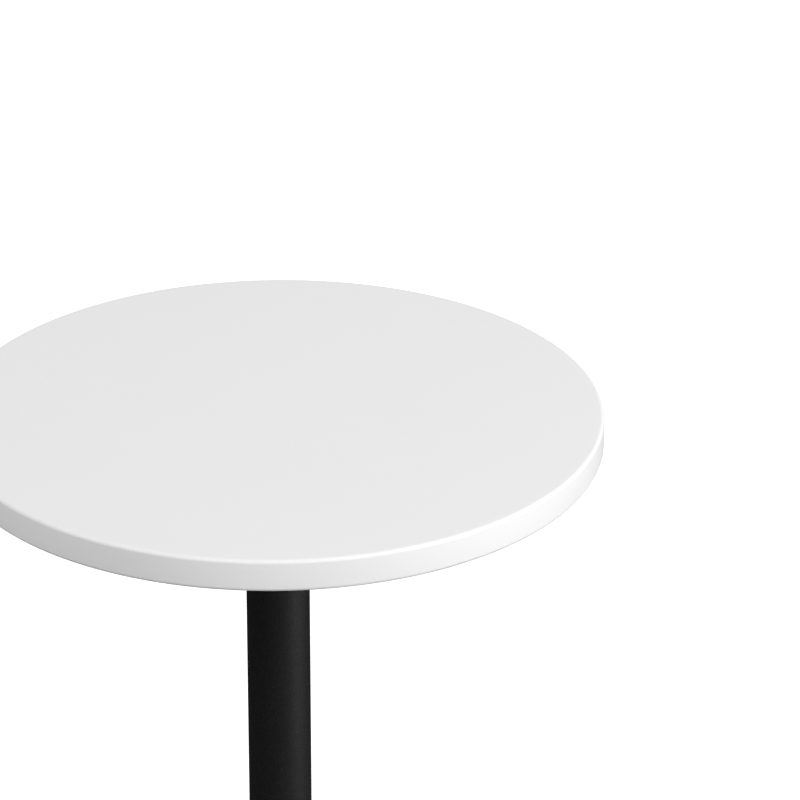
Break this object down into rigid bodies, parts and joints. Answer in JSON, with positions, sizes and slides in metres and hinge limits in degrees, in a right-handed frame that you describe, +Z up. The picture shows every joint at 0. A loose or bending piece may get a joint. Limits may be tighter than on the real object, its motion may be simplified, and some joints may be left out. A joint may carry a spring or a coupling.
{
  "type": "bistro table",
  "caption": "Round pedestal bistro table with a rounded-edge lacquered top, a tube column on a low disc base, and screw-adjusted swivel feet.",
  "frame": {"origin": "on the floor, on the axis of the column, with the feet screwed fully in", "axes": "+Z up along the column; the feet stand at 45 degrees to +X and +Y"},
  "size_m": [0.61, 0.61, 0.75],
  "materials": {
    "white_lacquer": "satin white lacquer on fibreboard",
    "black_powder_coat": "fine-textured matte powder coat on steel",
    "black_casting": "fine-textured matte powder coat on cast iron",
    "zinc_steel": "bright zinc plate",
    "black_nylon": "moulded, fine matte",
    "grey_rubber": "non-marking, matte"
  },
  "bodies": {
    "root": {"tabletop": "white_lacquer", "top_inserts": "zinc_steel", "spider": "black_casting", "spider_screws": "zinc_steel", "spider_washers": "zinc_steel", "column_tube": "black_powder_coat", "tie_rod": "zinc_steel", "base_casting": "black_casting", "rod_washer": "zinc_steel", "rod_spring_washer": "zinc_steel", "rod_nut": "zinc_steel"},
    "foot_1": {"foot_1_pad": "black_nylon", "foot_1_sole": "grey_rubber"},
    "foot_1_stud": {"foot_1_screw": "zinc_steel"},
    "foot_2": {"foot_2_pad": "black_nylon", "foot_2_sole": "grey_rubber"},
    "foot_2_stud": {"foot_2_screw": "zinc_steel"},
    "foot_3": {"foot_3_pad": "black_nylon", "foot_3_sole": "grey_rubber"},
    "foot_3_stud": {"foot_3_screw": "zinc_steel"},
    "foot_4": {"foot_4_pad": "black_nylon", "foot_4_sole": "grey_rubber"},
    "foot_4_stud": {"foot_4_screw": "zinc_steel"}
  },
  "joints": [
    {"name": "foot_1_height", "type": "slide", "parent": "root", "child": "foot_1", "axis": [0, 0, -1], "range_m": [0, 0.005]},
    {"name": "foot_1_turn", "type": "hinge", "parent": "foot_1", "child": "foot_1_stud", "pos_m": [0.13435, 0.13435, 0.00675], "axis": [0, 0, -1], "range_deg": [0, 1440]},
    {"name": "foot_2_height", "type": "slide", "parent": "root", "child": "foot_2", "axis": [0, 0, -1], "range_m": [0, 0.005]},
    {"name": "foot_2_turn", "type": "hinge", "parent": "foot_2", "child": "foot_2_stud", "pos_m": [-0.13435, 0.13435, 0.00675], "axis": [0, 0, -1], "range_deg": [0, 1440]},
    {"name": "foot_3_height", "type": "slide", "parent": "root", "child": "foot_3", "axis": [0, 0, -1], "range_m": [0, 0.005]},
    {"name": "foot_3_turn", "type": "hinge", "parent": "foot_3", "child": "foot_3_stud", "pos_m": [-0.13435, -0.13435, 0.00675], "axis": [0, 0, -1], "range_deg": [0, 1440]},
    {"name": "foot_4_height", "type": "slide", "parent": "root", "child": "foot_4", "axis": [0, 0, -1], "range_m": [0, 0.005]},
    {"name": "foot_4_turn", "type": "hinge", "parent": "foot_4", "child": "foot_4_stud", "pos_m": [0.13435, -0.13435, 0.00675], "axis": [0, 0, -1], "range_deg": [0, 1440]}
  ],
  "couplings": [
    {"joint": "foot_1_turn", "follows": "foot_1_height", "rad_per_m": 5026.5},
    {"joint": "foot_2_turn", "follows": "foot_2_height", "rad_per_m": 5026.5},
    {"joint": "foot_3_turn", "follows": "foot_3_height", "rad_per_m": 5026.5},
    {"joint": "foot_4_turn", "follows": "foot_4_height", "rad_per_m": 5026.5}
  ]
}
